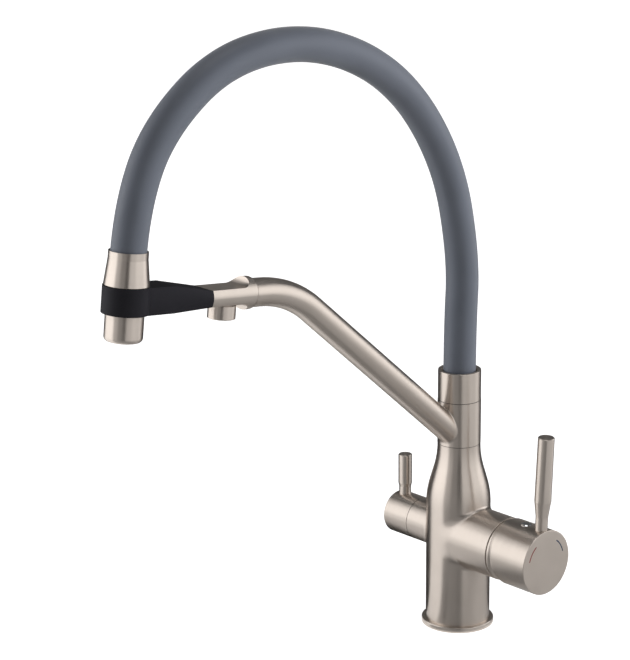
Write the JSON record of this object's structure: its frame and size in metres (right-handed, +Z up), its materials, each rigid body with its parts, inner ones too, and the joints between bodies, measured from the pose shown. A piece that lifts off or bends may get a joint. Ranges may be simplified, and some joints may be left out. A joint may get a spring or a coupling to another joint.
{
  "type": "drinking water filter tap",
  "caption": "Kitchen mixer tap with a docked spray head on an arched silicone hose, a swivelling arm with a filtered-water outlet, a mixer lever and a separate filter lever.",
  "frame": {"origin": "centre of the base on the worktop", "axes": "+Z up along the column, -Y towards the spout and spray head, +X towards the mixer lever, -X towards the filtered-water lever"},
  "size_m": [0.1506, 0.3367, 0.4506],
  "materials": {
    "brushed_nickel": "brushed nickel plate over brass, warm grey satin",
    "brass": "plain turned or cast brass",
    "cartridge_plastic": "moulded cartridge plastic",
    "ceramic": "lapped alumina ceramic",
    "seal_rubber": "black sealing rubber",
    "dark_acetal": "dark acetal glide rings",
    "steel": "stainless steel",
    "black_plastic": "matte black moulded plastic",
    "grey_silicone": "slate grey silicone, smooth and matte",
    "hose_rubber": "black water hose",
    "polished_chrome": "polished chrome",
    "red_enamel": "red enamel",
    "blue_enamel": "blue enamel",
    "nozzle_plastic": "pale grey moulded plastic"
  },
  "bodies": {
    "column": {"body": "brushed_nickel", "base_flange": "brushed_nickel", "base_gasket": "seal_rubber", "base_plug": "brass", "waterway": "brass", "swivel_core": "brass", "swivel_o_rings": "seal_rubber", "lower_glide_ring": "dark_acetal", "retaining_clip": "steel", "mixer_cartridge": "cartridge_plastic", "fixed_disc": "ceramic", "cartridge_nut": "brass", "cover_ring": "brushed_nickel", "filter_headwork": "brass", "filter_fixed_disc": "ceramic"},
    "spout": {"arm_sleeve": "brushed_nickel", "arm_tube": "brushed_nickel", "end_block": "brushed_nickel", "outlet_sleeve": "brushed_nickel", "outlet_seal": "seal_rubber", "outlet_insert": "nozzle_plastic", "dock_bracket": "black_plastic", "dock_screw": "steel", "upper_glide_ring": "dark_acetal", "hose_collar": "brushed_nickel", "hose_tail": "brass", "silicone_hose": "grey_silicone", "support_spring": "steel", "water_hose": "hose_rubber"},
    "spray_head": {"head_shell": "brushed_nickel", "head_fitting": "brass", "head_washer": "seal_rubber", "check_valve": "nozzle_plastic", "nozzle_insert": "nozzle_plastic"},
    "mixer_stem": {"mixer_spindle": "cartridge_plastic", "moving_disc": "ceramic", "lever_pivot_pin": "steel"},
    "mixer_handle": {"mixer_cap": "brushed_nickel", "lever_bar": "steel", "mixer_lever": "brushed_nickel", "set_screw": "steel", "screw_plug": "polished_chrome", "hot_mark": "red_enamel", "cold_mark": "blue_enamel"},
    "filter_handle": {"filter_cap": "brushed_nickel", "filter_spindle": "brass", "filter_moving_disc": "ceramic", "filter_set_screw": "steel", "filter_lever": "brushed_nickel"}
  },
  "joints": [
    {"name": "spout_swivel", "type": "hinge", "parent": "column", "child": "spout", "pos_m": [0, 0, 0.152], "axis": [0, 0, 1], "continuous": true},
    {"name": "head_lift", "type": "slide", "parent": "spout", "child": "spray_head", "axis": [0, 0.1132, 0.9936], "range_m": [0, 0.038], "deforming": ["silicone_hose", "support_spring", "water_hose"]},
    {"name": "mixer_turn", "type": "hinge", "parent": "column", "child": "mixer_stem", "pos_m": [0.052, 0, 0.068], "axis": [1, 0, 0], "range_deg": [-45, 45]},
    {"name": "mixer_lift", "type": "hinge", "parent": "mixer_stem", "child": "mixer_handle", "pos_m": [0.052, 0, 0.068], "axis": [0, 1, 0], "range_deg": [0, 16]},
    {"name": "filter_turn", "type": "hinge", "parent": "column", "child": "filter_handle", "pos_m": [-0.05, 0, 0.068], "axis": [1, 0, 0], "range_deg": [0, 90]}
  ]
}
